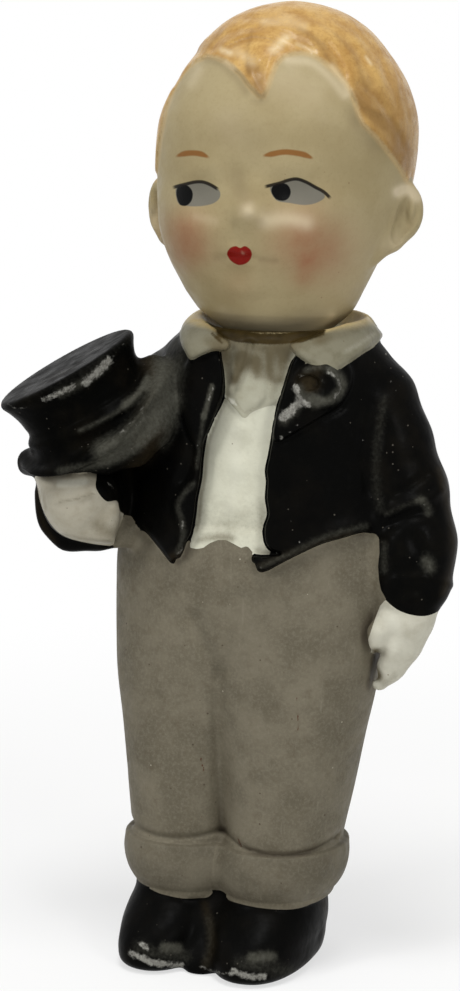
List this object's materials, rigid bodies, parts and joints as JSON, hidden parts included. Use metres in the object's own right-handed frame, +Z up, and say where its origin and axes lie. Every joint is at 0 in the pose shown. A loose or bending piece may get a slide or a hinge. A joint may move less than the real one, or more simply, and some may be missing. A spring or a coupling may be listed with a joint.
{
  "type": "groom figurine",
  "caption": "Bisque nodder groom figurine with a moulded coat, grey trousers and top hat, and a separate head on an elastic cord that turns, nods and tilts.",
  "frame": {"origin": "middle of the figure's bounding box in plan, on the surface that it stands on", "axes": "+Z up, the figure faces -Y, and its left arm is on the +X side"},
  "size_m": [0.042, 0.0272, 0.0905],
  "materials": {
    "skin_bisque": "satin",
    "hair_paint": "satin",
    "white_paint": "satin",
    "black_enamel": "gloss",
    "grey_paint": "matte",
    "peg_wood": "matte",
    "elastic": "matte"
  },
  "bodies": {
    "figure_body": {"shoes": "black_enamel", "trousers": "grey_paint", "left_turn_up": "grey_paint", "right_turn_up": "grey_paint", "shirt_torso": "white_paint", "collar": "white_paint", "necktie": "white_paint", "shirt_button_1": "white_paint", "shirt_button_2": "white_paint", "shirt_button_3": "white_paint", "coat": "black_enamel", "left_lapel": "black_enamel", "right_lapel": "black_enamel", "lapel_flower": "black_enamel", "left_sleeve": "black_enamel", "right_sleeve": "black_enamel", "left_hand": "white_paint", "right_hand": "white_paint", "top_hat": "black_enamel", "elastic_cord": "elastic"},
    "cord_top": {"elastic_loop": "elastic"},
    "peg": {"head_peg": "peg_wood"},
    "head": {"head": "skin_bisque", "hair": "hair_paint"}
  },
  "joints": [
    {"name": "head_turn", "type": "hinge", "parent": "figure_body", "child": "cord_top", "pos_m": [0.00337, 0.00122, 0.06689], "axis": [0, 0, 1], "range_deg": [-90, 90]},
    {"name": "head_tilt", "type": "hinge", "parent": "cord_top", "child": "peg", "pos_m": [0.00337, 0.00122, 0.06689], "axis": [0, 1, 0], "range_deg": [-8, 8], "stiffness_Nm_per_rad": 0.008},
    {"name": "head_nod", "type": "hinge", "parent": "peg", "child": "head", "pos_m": [0.00337, 0.00122, 0.06689], "axis": [1, 0, 0], "range_deg": [-12, 12], "stiffness_Nm_per_rad": 0.008}
  ]
}
